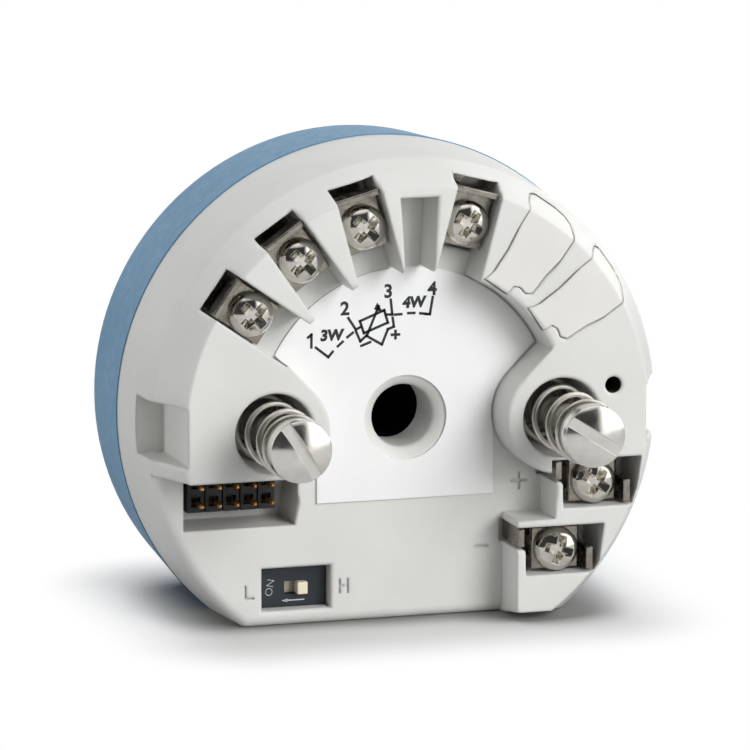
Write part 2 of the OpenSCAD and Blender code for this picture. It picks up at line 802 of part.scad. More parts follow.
// Slotted mounting screw with its shank, retaining groove and chamfered tip
module mounting_screw(side, turn) {
    dome = [for (p = quarter(head_r, dome_h)) [head_r + p[0], head_h + dome_h + p[1]]];
    color("silver") stand() translate([side * screw_x, 0, -push(side)]) {
        translate([0, 0, head_z]) difference() {
            rotate_extrude() polygon(concat([[0, 0], [head_r, 0]], dome));
            rotate([0, 0, turn]) translate([-head_r, -slot_w / 2, head_h + dome_h - slot_depth])
                cube([head_r * 2, slot_w, head_h]);
        }
        rotate_extrude() polygon([[0, -tip_reach], [shank_r - tip_chamfer, -tip_reach],
            [shank_r, tip_chamfer - tip_reach], [shank_r, groove_z], [groove_r, groove_z],
            [groove_r, groove_z + groove_w], [shank_r, groove_z + groove_w], [shank_r, head_z], [0, head_z]]);
    }
}

module screw_washer(side) {
    color("lightgray") stand() translate([side * screw_x, 0, head_z - washer_t - push(side)]) difference() {
        cylinder(r = washer_r, h = washer_t);
        translate([0, 0, -over]) cylinder(r = shank_r + running_gap, h = front_z);
    }
}

// Open retaining ring that snaps into the groove and keeps the screw captive
module retaining_ring(side) {
    color("gray") stand()
        translate([side * screw_x, 0, groove_z + (groove_w - ring_t) / 2 - push(side)]) difference() {
        cylinder(r = ring_r, h = ring_t);
        translate([0, 0, -over]) cylinder(r = groove_r + running_gap, h = front_z);
        translate([-groove_r, -ring_r - over, -over]) cube([groove_r * 2, ring_r + over, front_z]);
    }
}

// Spring: one helical tube between the socket's seat and the washer, its ends straight along the axis
rings_per_turn = 8;
tube_sides = 6;
function coil_start(side) = side < 0 ? 200 : 276;
end_len = wire_r * 2;
coil_rings = floor(rings_per_turn * coil_turns);
coil_low_z = seat_z + end_len + wire_r;

function coil_point(side, i, z) = let (a = coil_start(side) + 360 * i / rings_per_turn)
    [coil_r * cos(a), coil_r * sin(a), z];
function spring_path(side) =
    let (top = head_z - washer_t - push(side), rise = top - end_len - wire_r - coil_low_z)
    concat([coil_point(side, 0, seat_z), coil_point(side, 0, seat_z + end_len)],
        [for (i = [1 : coil_rings - 1]) coil_point(side, i, coil_low_z + rise * i / coil_rings)],
        [coil_point(side, coil_rings, top - end_len), coil_point(side, coil_rings, top)]);

function unit(v) = v / norm(v);
function heading(path, i) = i < 2 || i > len(path) - 3 ? [0, 0, 1] : unit(path[i + 1] - path[i - 1]);
function ring_points(path, i) = let (t = heading(path, i), out = [path[i][0], path[i][1], 0] / coil_r,
    side = unit(cross(t, out)), up = cross(side, t))
    [for (k = [0 : tube_sides - 1]) let (a = 360 * k / tube_sides)
        path[i] + wire_r * (cos(a) * up + sin(a) * side)];

module wire_tube(path) {
    rings = len(path);
    points = [for (i = [0 : rings - 1]) each ring_points(path, i)];
    walls = [for (i = [0 : rings - 2]) for (k = [0 : tube_sides - 1])
        let (a = i * tube_sides + k, b = i * tube_sides + (k + 1) % tube_sides)
        each [[a, a + tube_sides, b], [b, a + tube_sides, b + tube_sides]]];
    first = [for (k = [1 : tube_sides - 2]) [0, k, k + 1]];
    last_start = (rings - 1) * tube_sides;
    last = [for (k = [1 : tube_sides - 2]) [last_start, last_start + k + 1, last_start + k]];
    polyhedron(points = points, faces = concat(walls, first, last));
}

function least_gap(path) = min([for (i = [0 : len(path) - 1])
    for (j = [i + rings_per_turn / 2 : 1 : len(path) - 1])
    norm(path[i] - path[j])]) - wire_r * 2;
echo(least_gap_of_left_spring_to_itself = least_gap(spring_path(-1)));
echo(least_gap_of_right_spring_to_itself = least_gap(spring_path(1)));

module mounting_spring(side) {
    color("silver") stand() translate([side * screw_x, 0, 0]) wire_tube(spring_path(side));
}

module mounting_screw_left() mounting_screw(-1, slot_turn_left);
module mounting_screw_right() mounting_screw(1, slot_turn_right);
module screw_washer_left() screw_washer(-1);
module screw_washer_right() screw_washer(1);
module retaining_ring_left() retaining_ring(-1);
module retaining_ring_right() retaining_ring(1);
module mounting_spring_left() mounting_spring(-1);
module mounting_spring_right() mounting_spring(1);

cover();
base_cup();
face_label();
main_board();
board_parts();
transformer();
potting();
header_body();
header_pins();
switch_body();
switch_slider();
sensor_contacts();
sensor_clamp_1();
sensor_clamp_2();
sensor_clamp_3();
sensor_clamp_4();
sensor_screw_1();
sensor_screw_2();
sensor_screw_3();
sensor_screw_4();
power_contacts();
power_clamp_plus();
power_clamp_minus();
power_screw_plus();
power_screw_minus();
blank_plugs();
mounting_screw_left();
mounting_screw_right();
screw_washer_left();
screw_washer_right();
retaining_ring_left();
retaining_ring_right();
mounting_spring_left();
mounting_spring_right();
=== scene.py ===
"""Looks of a head-mounted temperature transmitter: a light grey moulded cover on a blue cup, screw
terminals round a labelled recess, two spring-loaded mounting screws, a pin header and a slide switch.
Sizes are in millimetres and become metres in mm(). A plan point is (x, z), and a height counts from
the back face."""
import math

import bmesh
import bpy
from mathutils import Matrix, Vector
from mathutils.bvhtree import BVHTree
from mathutils.geometry import intersect_point_line


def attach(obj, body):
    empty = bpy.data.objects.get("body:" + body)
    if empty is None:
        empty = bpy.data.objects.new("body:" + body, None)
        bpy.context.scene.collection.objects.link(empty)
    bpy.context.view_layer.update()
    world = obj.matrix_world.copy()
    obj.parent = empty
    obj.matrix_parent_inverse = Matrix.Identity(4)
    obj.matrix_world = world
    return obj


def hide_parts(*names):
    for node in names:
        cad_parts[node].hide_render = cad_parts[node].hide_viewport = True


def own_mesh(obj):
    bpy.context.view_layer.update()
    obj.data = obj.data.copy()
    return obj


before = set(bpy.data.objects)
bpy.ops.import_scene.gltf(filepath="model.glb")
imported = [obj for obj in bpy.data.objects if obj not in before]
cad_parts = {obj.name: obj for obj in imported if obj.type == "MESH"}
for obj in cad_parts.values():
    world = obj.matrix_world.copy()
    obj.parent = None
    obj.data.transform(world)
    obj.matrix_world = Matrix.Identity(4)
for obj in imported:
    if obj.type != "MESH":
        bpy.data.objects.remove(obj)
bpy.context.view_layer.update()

# Sizes, from the part's own drawing
FRONT = 30.0
FLOOR = 24.5
FLAT_DROP = 22.8
SCREW_X = 16.5
SEAT = 16.5
HEAD_UNDER = 39.6
WASHER_T = 0.6
LEFT_PUSH = 1.1
TERMINAL_R = 22.8
TERMINAL_ANGLES = {"1": 145, "2": 125, "3": 105, "4": 75}
PAN_UNDER = 27.6
POWER_SCREWS = {"plus": (20.70, -7.60), "minus": (16.40, -15.00)}
POWER_PAN_UNDER = 28.0
PAN_R, PAN_H, PAN_FLANK = 2.5, 2.0, 0.5
PAN_SHANK, PAN_ROOT, PAN_THREAD, PAN_PITCH = 5.3, 1.25, 1.5, 0.5
HEAD_R, HEAD_H, SLOT_W, SLOT_DEPTH = 3.45, 2.7, 1.2, 1.3
DOME_R, DOME_RISE, DOME_STEPS = 3.28, 0.95, 10
SHANK_R, GROOVE_R, GROOVE_LOW, GROOVE_HIGH = 2.0, 1.6, 0.3, 1.5
THREAD_ROOT, THREAD_PITCH, THREAD_LOW, THREAD_HIGH, SCREW_END = 1.72, 0.7, -2.25, 0.6, -2.6
COIL_R, COIL_WIRE, COIL_TURNS = 3.35, 0.3, 4.375
COIL_START = {"left": 200, "right": 276}
LABEL_T, PRINT_LIFT, SIGN_DEPTH = 0.25, 0.006, 0.25
BOARD_TOP = 17.2
HEADER_LEFT, HEADER_MID, HEADER_W, HEADER_H, HEADER_TOP = -24.55, -7.5, 10, 4.4, 23.0
HEADER_COLUMNS, HEADER_ROWS, PIN_PITCH, PIN_TIP, PIN_POINT = 5, 2, 2.0, 25.9, 0.35
SWITCH_FACE = 22.7
CROSS_TURNS = {"1": 78, "2": 10, "3": 32, "4": 70, "plus": 58, "minus": 75}
SLOT_TURNS = {"left": 121.6, "right": 147.0}
SIDE_SIGN = {"left": -1, "right": 1}
PUSH = {"left": LEFT_PUSH, "right": 0}
# Height above which the cover's corners are rounded, and the angle that counts as a corner
ROUND_FROM = 21
CORNER = math.radians(35)
# Radians of a wave texture's phase for each unit of length at scale 1
WAVE_PHASE = 20
# A plan with its heights stands up: plan y becomes z, and height becomes -y
STAND = Matrix(((1, 0, 0, 0), (0, 0, -1, 0), (0, 1, 0, 0), (0, 0, 0, 1)))


def mm(*values):
    """Millimetres to metres."""
    scaled = tuple(v * 0.001 for v in values)
    return scaled if len(scaled) > 1 else scaled[0]


# Camera, at the photograph's place
def make_camera():
    azimuth, elevation, roll = (math.radians(v) for v in (17.219, 10.804, -0.127))
    aside, above, away = mm(-4.922, 5.605, 700)
    back = Vector((-math.sin(azimuth) * math.cos(elevation), -math.cos(azimuth) * math.cos(elevation),
                   math.sin(elevation)))
    level = Vector((math.cos(azimuth), -math.sin(azimuth), 0))
    rise = back.cross(level)
    eye = level * aside + rise * above + back * away - Vector((0, mm(FRONT), 0))
    right = level * math.cos(roll) - rise * math.sin(roll)
    up = level * math.sin(roll) + rise * math.cos(roll)
    data = bpy.data.cameras.new("photo_camera")
    data.sensor_fit = "HORIZONTAL"
    data.sensor_width = 36
    data.lens = 306.468
    data.clip_start = 0.01
    data.clip_end = 20
    camera = bpy.data.objects.new("photo_camera", data)
    camera.matrix_world = Matrix.Translation(eye) @ Matrix((right, up, back)).transposed().to_4x4()
    bpy.context.scene.collection.objects.link(camera)
    bpy.context.scene.camera = camera


make_camera()


# Materials
def linear(code):
    """An sRGB hex value as the linear colour that the shader wants."""
    channels = [int(code[i:i + 2], 16) / 255 for i in (1, 3, 5)]
    return tuple(c / 12.92 if c <= 0.04045 else ((c + 0.055) / 1.055) ** 2.4 for c in channels) + (1.0,)


def per_mm(size):
    """Scale of a pattern whose features are this many millimetres across."""
    return 1 / mm(size)


def add(tree, kind, sockets=None, **settings):
    """Adds a node, sets its properties, and fills or links its input sockets."""
    node = tree.nodes.new(kind)
    for name, value in settings.items():
        setattr(node, name, value)
    for name, value in (sockets or {}).items():
        if isinstance(value, bpy.types.NodeSocket):
            tree.links.new(value, node.inputs[name])
        else:
            node.inputs[name].default_value = value
    return node


def start_material(name, **shader):
    """A material with its shader filled in, and its Object coordinates."""
    material = bpy.data.materials.new(name)
    material.use_nodes = True
    tree = material.node_tree
    tree.nodes.clear()
    surface = add(tree, "ShaderNodeBsdfPrincipled", {k.replace("_", " "): v for k, v in shader.items()})
    add(tree, "ShaderNodeOutputMaterial", {"Surface": surface.outputs["BSDF"]})
    place = add(tree, "ShaderNodeTexCoord").outputs["Object"]
    return material, tree, surface, place


def varied(tree, place, size, low, high, detail=3.0):
    """A noise of one feature size, spread between two values."""
    noise = add(tree, "ShaderNodeTexNoise", {"Vector": place, "Scale": per_mm(size), "Detail": detail})
    spread = add(tree, "ShaderNodeMapRange", {"Value": noise.outputs["Fac"], "From Min": 0.3, "From Max": 0.7,
                                              "To Min": low, "To Max": high})
    return spread.outputs["Result"]


def tinted(tree, factor, first, second):
    """A colour between two, by a factor."""
    mix = add(tree, "ShaderNodeMix", data_type="RGBA")
    tree.links.new(factor, mix.inputs["Factor"])
    mix.inputs["A"].default_value = linear(first)
    mix.inputs["B"].default_value = linear(second)
    return mix.outputs["Result"]


def moulded(name, shades, rough, grain=0.3, depth=0.006, edge=0.25, bore_shade=None):
    """Injection-moulded plastic: cloudy in tint over several millimetres, with a fine spark-eroded
    grain, and corners that the mould leaves slightly round, so that they catch a line of light. A bore
    shade is a plan place, a radius and a painted shade: inside that radius the colour turns to that
    shade and the shine is halved, as painted shadow deep in a bore."""
    material, tree, surface, place = start_material(name)
    shade = tinted(tree, varied(tree, place, 7, 0, 1), *shades)
    # Painted shade: inside the given radius the colour turns dark and the shine is halved, for the shadow
    # deep in the bore
    if bore_shade:
        x, z, radius, dark = bore_shade
        aside = add(tree, "ShaderNodeMapping", {"Vector": place, "Location": mm(-x, 0, -z),
                                                "Scale": (1, 0, 1)})
        far = add(tree, "ShaderNodeVectorMath", {0: aside.outputs["Vector"]}, operation="LENGTH")
        outside = add(tree, "ShaderNodeMath", {0: far.outputs["Value"], 1: mm(radius)},
                      operation="GREATER_THAN")
        mix = add(tree, "ShaderNodeMix", data_type="RGBA")
        mix.inputs["A"].default_value = linear(dark)
        tree.links.new(outside.outputs[0], mix.inputs["Factor"])
        tree.links.new(shade, mix.inputs["B"])
        shade = mix.outputs["Result"]
        shine = add(tree, "ShaderNodeMath", {0: outside.outputs[0], 1: 0.5}, operation="MULTIPLY")
        tree.links.new(shine.outputs[0], surface.inputs["Specular IOR Level"])
    tree.links.new(shade, surface.inputs["Base Color"])
    tree.links.new(varied(tree, place, grain * 3, *rough), surface.inputs["Roughness"])
    soft = add(tree, "ShaderNodeBevel", {"Radius": mm(edge)}, samples=6)
    bump = add(tree, "ShaderNodeBump", {"Height": varied(tree, place, grain, 0, 1), "Distance": mm(depth),
                                        "Strength": 0.6, "Normal": soft.outputs["Normal"]})
    tree.links.new(bump.outputs["Normal"], surface.inputs["Normal"])
    return material


def plated(name, shades, rough, edge=0.12, stain=1.6):
    """Nickel-plated steel: bright, slightly warm, with faint stains and shallow dents in the plating."""
    material, tree, surface, place = start_material(name, Metallic=1.0)
    stains = varied(tree, place, stain, 0, 1, 5)
    tree.links.new(tinted(tree, stains, *shades), surface.inputs["Base Color"])
    tree.links.new(varied(tree, place, stain * 0.7, *rough), surface.inputs["Roughness"])
    soft = add(tree, "ShaderNodeBevel", {"Radius": mm(edge)}, samples=6)
    dents = add(tree, "ShaderNodeBump", {"Height": varied(tree, place, 0.9, 0, 1), "Distance": mm(0.02),
                                         "Strength": 0.5, "Normal": soft.outputs["Normal"]})
    tree.links.new(dents.outputs["Normal"], surface.inputs["Normal"])
    return material


def turned(name, shades, rough, centre, half_ring=0.16):
    """Turned and plated steel: fine rings from the lathe tool round the screw's axis, drawn 0.32 mm
    apart so that they show."""
    material, tree, surface, place = start_material(name, Metallic=1.0)
    centred = add(tree, "ShaderNodeMapping", {"Vector": place, "Location": mm(-centre[0], 0, -centre[1])})
    rings = add(tree, "ShaderNodeTexWave", {"Vector": centred.outputs["Vector"],
                                            "Scale": per_mm(half_ring) / WAVE_PHASE * 3.14,
                                            "Distortion": 0.6, "Detail": 1.0, "Detail Scale": 40.0},
                wave_type="RINGS", rings_direction="Y")
    tree.links.new(tinted(tree, varied(tree, place, 1.4, 0, 1, 5), *shades), surface.inputs["Base Color"])
    tree.links.new(varied(tree, place, 0.8, *rough), surface.inputs["Roughness"])
    soft = add(tree, "ShaderNodeBevel", {"Radius": mm(0.12)}, samples=6)
    bump = add(tree, "ShaderNodeBump", {"Height": rings.outputs["Fac"], "Distance": mm(0.003),
                                        "Strength": 0.5, "Normal": soft.outputs["Normal"]})
    tree.links.new(bump.outputs["Normal"], surface.inputs["Normal"])
    return material


def printed(name, shades):
    """Screen-printed ink: matt, and faintly uneven over a quarter of a millimetre."""
    material, tree, surface, place = start_material(name, Roughness=0.6)
    tree.links.new(tinted(tree, varied(tree, place, 0.25, 0, 1), *shades), surface.inputs["Base Color"])
    return material


FINISH = {
    # Painted shade: the last tuple darkens the cover's pilot hole, for the shadow deep inside it
    "cover": moulded("grey_polyester_moulded", ("#D6D6D3", "#DBDBD8"), (0.30, 0.42), 0.35, 0.004, 0.5,
                     (22.5, 3.35, 0.93, "#3A3A37")),
    "plug": moulded("grey_polyester_plug", ("#DAD9D4", "#DFDED9"), (0.30, 0.42), 0.35, 0.004, 0.3),
    # Painted shade: the last tuple darkens the cup's bore round the axis, for the shadow deep inside it
    "cup": moulded("blue_polyester_moulded", ("#4E83A7", "#588BAF"), (0.38, 0.5), 0.35, 0.006, 0.3,
                   (0, 0, 4.4, "#0B1218")),
    "label": moulded("white_polyester_label", ("#EDEDED", "#F1F1F1"), (0.42, 0.5), 0.5, 0.002, 0.1),
    "board": moulded("green_solder_mask", ("#0F3B22", "#15472A"), (0.3, 0.4), 0.5, 0.004, 0.1),
    "chips": moulded("black_epoxy_package", ("#1B1B1B", "#222222"), (0.5, 0.6), 0.2, 0.004, 0.1),
    "resin": moulded("black_potting_resin", ("#101214", "#16181B"), (0.15, 0.3), 1.5, 0.02, 0.1),
    "black_plastic": moulded("black_nylon_header", ("#17181A", "#222326"), (0.45, 0.6), 0.25, 0.006, 0.12),
    "switch": moulded("slate_nylon_switch", ("#24292E", "#2C3238"), (0.4, 0.55), 0.25, 0.005, 0.1),
    "slider": moulded("cream_nylon_knob", ("#E9DFC6", "#F0E7D0"), (0.4, 0.5), 0.3, 0.004, 0.12),
    # Painted shade: the contacts', clamps' and washers' nickel is drawn darker than the screws' nickel, for
    # the shade they sit in; its stains are the plating's own
    "nickel": plated("nickel_plated_contact", ("#8C877D", "#ABA69C"), (0.18, 0.36)),
    "screw_nickel": plated("nickel_plated_pan_screw", ("#C9C5BD", "#E2DFD8"), (0.04, 0.14), 0.1),
    "slide_plate": moulded("pale_nylon_slide", ("#B9B3A2", "#C6C0AF"), (0.5, 0.6), 0.3, 0.004, 0.05),
    "gold": plated("gold_plated_pin", ("#C08A45", "#D7A562"), (0.2, 0.32), 0.05),
    "spring_steel": plated("drawn_spring_wire", ("#C4C0B8", "#D6D3CC"), (0.3, 0.42), 0.05, 0.8),
}
INK = printed("black_label_ink", ("#26272A", "#303135"))
WHITE_INK = printed("white_switch_ink", ("#C9CDD0", "#DADDDF"))
TURNED = {side: turned("turned_screw_" + side, ("#D9D6D0", "#E8E5E0"), (0.12, 0.24), (x, 0))
          for side, x in (("left", -SCREW_X), ("right", SCREW_X))}


def finish_node(name, material):
    """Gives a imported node's own object its material."""
    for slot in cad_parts[name].material_slots:
        slot.material = material


# Mesh tools
def new_object(name, mesh):
    obj = bpy.data.objects.new(name, mesh)
    bpy.context.scene.collection.objects.link(obj)
    return obj


def opened(mesh):
    """A mesh to edit."""
    shape = bmesh.new()
    shape.from_mesh(mesh)
    return shape


def kept_in(mesh, shape):
    """Puts an edited mesh back."""
    shape.to_mesh(mesh)
    shape.free()


def as_object(name, shape):
    mesh = bpy.data.meshes.new(name)
    kept_in(mesh, shape)
    return new_object(name, mesh)


def closed_object(name, shape):
    """A closed mesh as an object, with its faces turned outwards."""
    bmesh.ops.recalc_face_normals(shape, faces=shape.faces)
    return as_object(name, shape)


def applied(obj):
    """The object with its modifiers made into its mesh."""
    bpy.context.view_layer.update()
    result = bpy.data.meshes.new_from_object(obj.evaluated_get(bpy.context.evaluated_depsgraph_get()))
    obj.modifiers.clear()
    obj.data = result
    return obj


def smooth(obj, degrees=32, weighted=False):
    """Smooth shading with sharp corners, and on a rounded mesh normals that the large faces lead."""
    shape = opened(obj.data)
    for face in shape.faces:
        face.smooth = True
    for edge in shape.edges:
        edge.smooth = len(edge.link_faces) == 2 and edge.calc_face_angle(0) < math.radians(degrees)
    kept_in(obj.data, shape)
    if weighted:
        modifier = obj.modifiers.new("even_normals", "WEIGHTED_NORMAL")
        modifier.mode = "FACE_AREA"
        modifier.weight = 50
        modifier.keep_sharp = True
        applied(obj)
    return obj


def painted(obj, material):
    obj.data.materials.clear()
    obj.data.materials.append(material)
    return obj


def cut(obj, tool):
    """Cuts one closed mesh out of another, and fills the slits of no width that the cut can leave."""
    modifier = obj.modifiers.new("cut", "BOOLEAN")
    modifier.operation = "DIFFERENCE"
    modifier.solver = "EXACT"
    modifier.object = tool
    applied(obj)
    bpy.data.objects.remove(tool)
    shape = opened(obj.data)
    bmesh.ops.holes_fill(shape, edges=[edge for edge in shape.edges if edge.is_boundary])
    kept_in(obj.data, shape)
    return obj


def lathe(name, profile, steps=64):
    """Turns a profile of (radius, height) points round the height axis, closed at both ends."""
    shape = bmesh.new()
    rings = []
    for radius, height in profile:
        if radius == 0:
            rings.append([shape.verts.new(mm(0, 0, height))])
        else:
            turns = [2 * math.pi * i / steps for i in range(steps)]
            rings.append([shape.verts.new(mm(radius * math.cos(turn), radius * math.sin(turn), height))
                          for turn in turns])
    for low, high in zip(rings, rings[1:]):
        for i in range(steps):
            corners = [low[i % len(low)], low[(i + 1) % len(low)],
                       high[(i + 1) % len(high)], high[i % len(high)]]
            kept = []
            for corner in corners:
                if corner not in kept:
                    kept.append(corner)
            shape.faces.new(kept)
    return closed_object(name, shape)


def rectangle(half_x, half_y, x=0.0, y=0.0):
    return [(x - half_x, y - half_y), (x + half_x, y - half_y), (x + half_x, y + half_y),
            (x - half_x, y + half_y)]


def tapered(name, bottom, top, low, high):
    """Closed solid between two outlines of as many plan points each."""
    shape = bmesh.new()
    first = [shape.verts.new(mm(x, y, low)) for x, y in bottom]
    second = [shape.verts.new(mm(x, y, high)) for x, y in top]
    shape.faces.new(first[::-1])
    shape.faces.new(second)
    for i in range(len(bottom)):
        j = (i + 1) % len(bottom)
        shape.faces.new([first[i], first[j], second[j], second[i]])
    return closed_object(name, shape)


def prism(name, outline, low, high):
    """Closed prism on an outline of plan points."""
    return tapered(name, outline, outline, low, high)


def threaded(name, root, crest, pitch, low, high, steps=32, rows=6):
    """A shank with a helical thread, closed at both ends."""
    shape = bmesh.new()
    count = max(2, round((high - low) / pitch * rows))
    rings = []
    for j in range(count + 1):
        height = low + (high - low) * j / count
        ring = []
        for i in range(steps):
            phase = (height / pitch - i / steps) % 1
            radius = root + (crest - root) * (1 - abs(2 * phase - 1))
            turn = 2 * math.pi * i / steps
            ring.append(shape.verts.new(mm(radius * math.cos(turn), radius * math.sin(turn), height)))
        rings.append(ring)
    for lower, upper in zip(rings, rings[1:]):
        for i in range(steps):
            j = (i + 1) % steps
            shape.faces.new([lower[i], lower[j], upper[j], upper[i]])
    for ring, height in ((rings[0], low), (rings[-1], high)):
        middle = shape.verts.new(mm(0, 0, height))
        for i in range(steps):
            shape.faces.new([ring[i], ring[(i + 1) % steps], middle])
    return closed_object(name, shape)


def stood(obj, x=0.0, z=0.0, height=0.0, turn=0.0):
    """Stands a piece made on the plan up at its place, in its mesh."""
    place = Matrix.Translation(mm(x, z, height))
    obj.data.transform(STAND @ place @ Matrix.Rotation(math.radians(turn), 4, "Z"))
    return obj


def joined(name, pieces):
    """Several plain meshes as one."""
    shape = bmesh.new()
    for piece in pieces:
        shape.from_mesh(piece.data)
        bpy.data.objects.remove(piece)
    return as_object(name, shape)


def welded(node):
    """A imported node's mesh with its points joined and its flat faces made whole."""
    shape = opened(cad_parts[node].data)
    bmesh.ops.remove_doubles(shape, verts=shape.verts, dist=mm(0.002))
    bmesh.ops.dissolve_limit(shape, angle_limit=math.radians(0.15), verts=shape.verts, edges=shape.edges)
    return shape


def along_edge(edge, other):
    """Whether two edges run nearly the same way."""
    ways = [(e.verts[1].co - e.verts[0].co).normalized() for e in (edge, other)]
    return abs(ways[0].dot(ways[1])) > 0.9


def is_roundable(edge, room, low):
    """Whether an edge is an outer corner, not too far back, with room for a rounding beside it."""
    if len(edge.link_faces) != 2 or not edge.is_convex or edge.calc_face_angle(0) < CORNER:
        return False
    if any(-vert.co.y < low for vert in edge.verts):
        return False
    near = [other for vert in edge.verts for other in vert.link_edges
            if other is not edge and len(other.link_faces) == 2]
    sharp = [other for other in near if other.calc_face_angle(0) > math.radians(12)]
    along = [other for other in sharp if along_edge(edge, other)]
    if any(other.calc_length() < room for other in sharp if other not in along):
        return False
    return edge.calc_length() >= room or bool(along)


def crossings(shape):
    """Middles of the faces that pass through one another."""
    whole = shape.copy()
    bmesh.ops.triangulate(whole, faces=whole.faces)
    whole.faces.ensure_lookup_table()
    tree = BVHTree.FromBMesh(whole)
    found = []
    for first, second in tree.overlap(tree):
        faces = whole.faces[first], whole.faces[second]
        if first < second and not set(faces[0].verts) & set(faces[1].verts):
            found += [face.calc_center_median() for face in faces]
    whole.free()
    return found


def passes(edge, place, reach):
    """Whether an edge passes a place within reach."""
    start, end = (vert.co for vert in edge.verts)
    share = min(1, max(0, intersect_point_line(place, start, end)[1]))
    return (start.lerp(end, share) - place).length < reach


def rounded_copy(node, name, width, room, low=0.0):
    """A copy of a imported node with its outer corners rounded. Where two roundings would cross, the
    corners there are left sharp, and the rounding is made again."""
    sharp_places = []
    while True:
        shape = welded(node)
        chosen = [edge for edge in shape.edges if is_roundable(edge, mm(room), mm(low))
                  and not any(passes(edge, place, mm(width * 1.6)) for place in sharp_places)]
        bmesh.ops.bevel(shape, geom=chosen, offset=mm(width), offset_type="OFFSET", segments=3, profile=0.5,
                        affect="EDGES", clamp_overlap=False)
        found = crossings(shape)
        if not found or not chosen:
            break
        sharp_places += found
        shape.free()
    return as_object(name, shape)


def lettering(text, size, x, z, height, turn=0.0, thick=0.0, lean=0.0):
    """A character or two as a flat mesh of a given height, its middle at a plan point."""
    curve = bpy.data.curves.new("lettering", "FONT")
    curve.body = text
    curve.size = mm(size) * 1.38
    curve.align_x = "CENTER"
    curve.align_y = "CENTER"
    curve.offset = mm(thick)
    curve.shear = lean
    curve.resolution_u = 4
    letters = new_object("lettering", curve)
    bpy.context.view_layer.update()
    mesh = bpy.data.meshes.new_from_object(letters.evaluated_get(bpy.context.evaluated_depsgraph_get()))
    bpy.data.objects.remove(letters)
    return stood(new_object("lettering", mesh), x, z, height, turn)


def flat_shape(name, outline):
    """One flat face on an outline of plan points, which looks to the front."""
    shape = bmesh.new()
    face = shape.faces.new([shape.verts.new(mm(x, y, 0)) for x, y in outline])
    shape.normal_update()
    if face.normal.z < 0:
        face.normal_flip()
    return as_object(name, shape)


def stroke(points, wide, height):
    """A printed line through plan points, with square corners."""
    pieces = []
    for (x0, z0), (x1, z1) in zip(points, points[1:]):
        length = math.hypot(x1 - x0, z1 - z0)
        tx, tz = (x1 - x0) / length * wide / 2, (z1 - z0) / length * wide / 2
        corners = [(x0 - tx - tz, z0 - tz + tx), (x0 - tx + tz, z0 - tz - tx),
                   (x1 + tx + tz, z1 + tz - tx), (x1 + tx - tz, z1 + tz + tx)]
        pieces.append(stood(flat_shape("stroke", corners), height=height))
    return pieces


def finish_piece(obj, body, slot, material, *nodes):
    """Paints a piece and puts it on its body, in the place of the nodes that it replaces."""
    painted(obj, material)
    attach(obj, body)
    if nodes:
        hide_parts(*nodes)


# What repeats or follows a path
def tree_with(name, *inputs):
    """A node tree for geometry with named inputs."""
    tree = bpy.data.node_groups.new(name, "GeometryNodeTree")
    tree.interface.new_socket("Geometry", in_out="INPUT", socket_type="NodeSocketGeometry")
    for label, kind in inputs:
        tree.interface.new_socket(label, in_out="INPUT", socket_type=kind)
    tree.interface.new_socket("Geometry", in_out="OUTPUT", socket_type="NodeSocketGeometry")
    return tree, tree.nodes.new("NodeGroupInput").outputs


def close_tree(tree, geometry, material):
    real = add(tree, "GeometryNodeRealizeInstances", {"Geometry": geometry})
    coated = add(tree, "GeometryNodeSetMaterial", {"Geometry": real.outputs["Geometry"],
                                                   "Material": material})
    add(tree, "NodeGroupOutput", {"Geometry": coated.outputs["Geometry"]})
    return tree


def make_wire_tree():
    """Sweeps a round wire along a polyline, with flat ends."""
    tree, given = tree_with("wire_along_path", ("Wire Radius", "NodeSocketFloat"),
                            ("Sides", "NodeSocketInt"), ("Material", "NodeSocketMaterial"))
    path = add(tree, "GeometryNodeMeshToCurve", {"Mesh": given["Geometry"]})
    ring = add(tree, "GeometryNodeCurvePrimitiveCircle", {"Radius": given["Wire Radius"],
                                                          "Resolution": given["Sides"]})
    tube = add(tree, "GeometryNodeCurveToMesh", {"Curve": path.outputs["Curve"],
                                                 "Profile Curve": ring.outputs["Curve"],
                                                 "Fill Caps": True})
    even = add(tree, "GeometryNodeSetShadeSmooth", {"Geometry": tube.outputs["Mesh"]})
    return close_tree(tree, even.outputs["Geometry"], given["Material"])


def make_copies_tree():
    """Puts a copy of one shape on every point of a mesh."""
    tree, given = tree_with("copies_on_points", ("Shape", "NodeSocketObject"),
                            ("Material", "NodeSocketMaterial"))
    shape = add(tree, "GeometryNodeObjectInfo", {"Object": given["Shape"]})
    placed = add(tree, "GeometryNodeInstanceOnPoints", {"Points": given["Geometry"],
                                                        "Instance": shape.outputs["Geometry"]})
    return close_tree(tree, placed.outputs["Instances"], given["Material"])


WIRE_TREE = make_wire_tree()
COPIES_TREE = make_copies_tree()


def grown(name, points, edges, tree, **values):
    """Runs a tree on points, and hands back the plain mesh."""
    mesh = bpy.data.meshes.new(name)
    mesh.from_pydata(points, edges, [])
    obj = new_object(name, mesh)
    modifier = obj.modifiers.new(tree.name, "NODES")
    modifier.node_group = tree
    for item in tree.interface.items_tree:
        label = item.name.replace(" ", "_")
        if item.in_out == "INPUT" and label in values:
            modifier[item.identifier] = values[label]
    return applied(obj)


def wire(name, points, radius, sides, material):
    """A wire of a given radius through plan points with heights."""
    edges = [(i, i + 1) for i in range(len(points) - 1)]
    return stood(grown(name, [mm(*p) for p in points], edges, WIRE_TREE, Wire_Radius=mm(radius),
                       Sides=sides, Material=material))


def helix(centre, radius, low, high, start, turns, steps=40):
    """Points of a helix from one height to another."""
    count = max(2, round(turns * steps))
    points = []
    for i in range(count + 1):
        angle = math.radians(start + 360 * turns * i / count)
        points.append((centre + radius * math.cos(angle), radius * math.sin(angle),
                       low + (high - low) * i / count))
    return points


# Housing
def letter_l(wide, tall, bar):
    return [(0, 0), (wide, 0), (wide, bar), (bar, bar), (bar, tall), (0, tall)]


